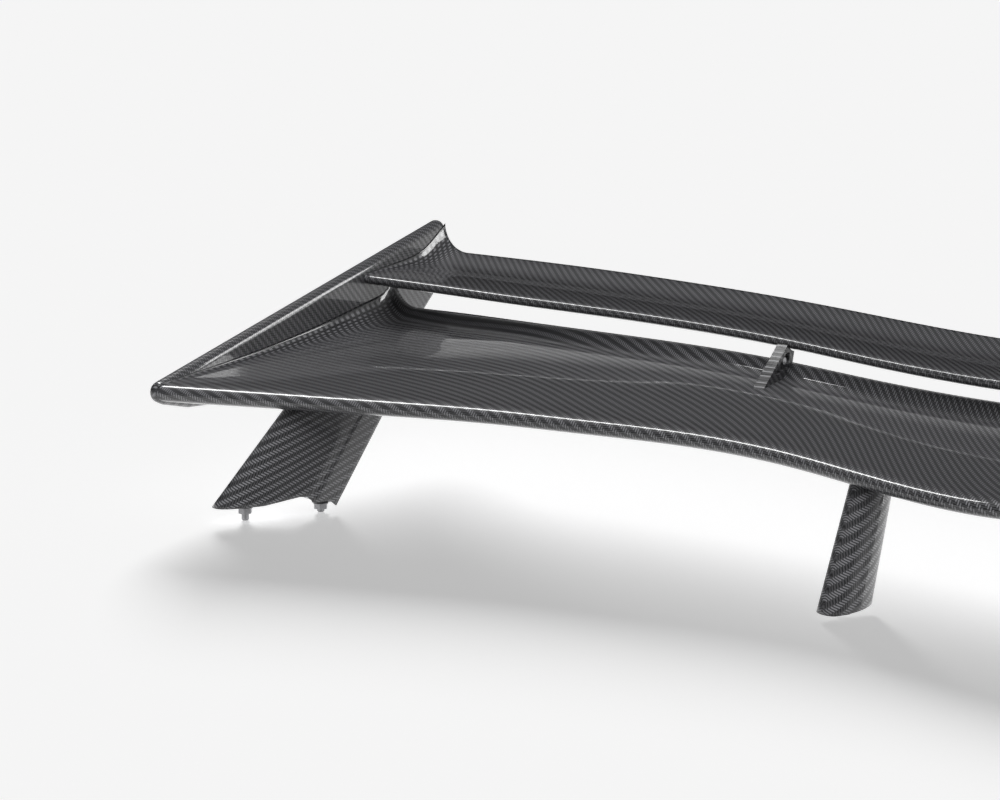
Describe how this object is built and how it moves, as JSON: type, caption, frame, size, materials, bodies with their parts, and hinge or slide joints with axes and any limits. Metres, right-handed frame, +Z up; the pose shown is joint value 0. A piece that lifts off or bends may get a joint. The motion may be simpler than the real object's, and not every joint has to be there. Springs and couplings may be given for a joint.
{
  "type": "racing rear wing",
  "caption": "Two-element carbon rear wing with end plates, hollow legs and threaded studs that fasten it to a boot lid.",
  "frame": {"origin": "on the centre plane, at the height of the lowest stud tips, midway between the front of the legs and the rear of the end plates", "axes": "+Z up; -Y towards the front of the car; +X towards the left side of the car, across the span"},
  "size_m": [1.44, 0.4561, 0.1905],
  "materials": {
    "carbon_twill": "2x2 twill carbon cloth under a clear gloss coat",
    "foam": "rigid structural foam",
    "aluminium": "machined",
    "steel": "zinc plated",
    "rubber": "matt moulded rubber"
  },
  "bodies": {
    "root": {"end_plate_left": "carbon_twill", "end_plate_right": "carbon_twill", "flap_lower_skin": "carbon_twill", "flap_ribs": "foam", "flap_stay_left": "carbon_twill", "flap_stay_right": "carbon_twill", "flap_upper_skin": "carbon_twill", "foot_gaskets": "rubber", "foot_insert_inner_left": "aluminium", "foot_insert_inner_right": "aluminium", "foot_insert_outer_left": "aluminium", "foot_insert_outer_right": "aluminium", "leg_cap_inner_left": "aluminium", "leg_cap_inner_right": "aluminium", "leg_cap_outer_left": "aluminium", "leg_cap_outer_right": "aluminium", "leg_hard_points": "aluminium", "leg_inner_left": "carbon_twill", "leg_inner_right": "carbon_twill", "leg_outer_left": "carbon_twill", "leg_outer_right": "carbon_twill", "leg_screws": "steel", "main_lower_skin": "carbon_twill", "main_ribs": "foam", "main_spar": "foam", "main_upper_skin": "carbon_twill", "mounting_studs": "steel", "stay_screws": "steel", "stud_nuts": "steel", "stud_washers": "steel"}
  },
  "joints": []
}
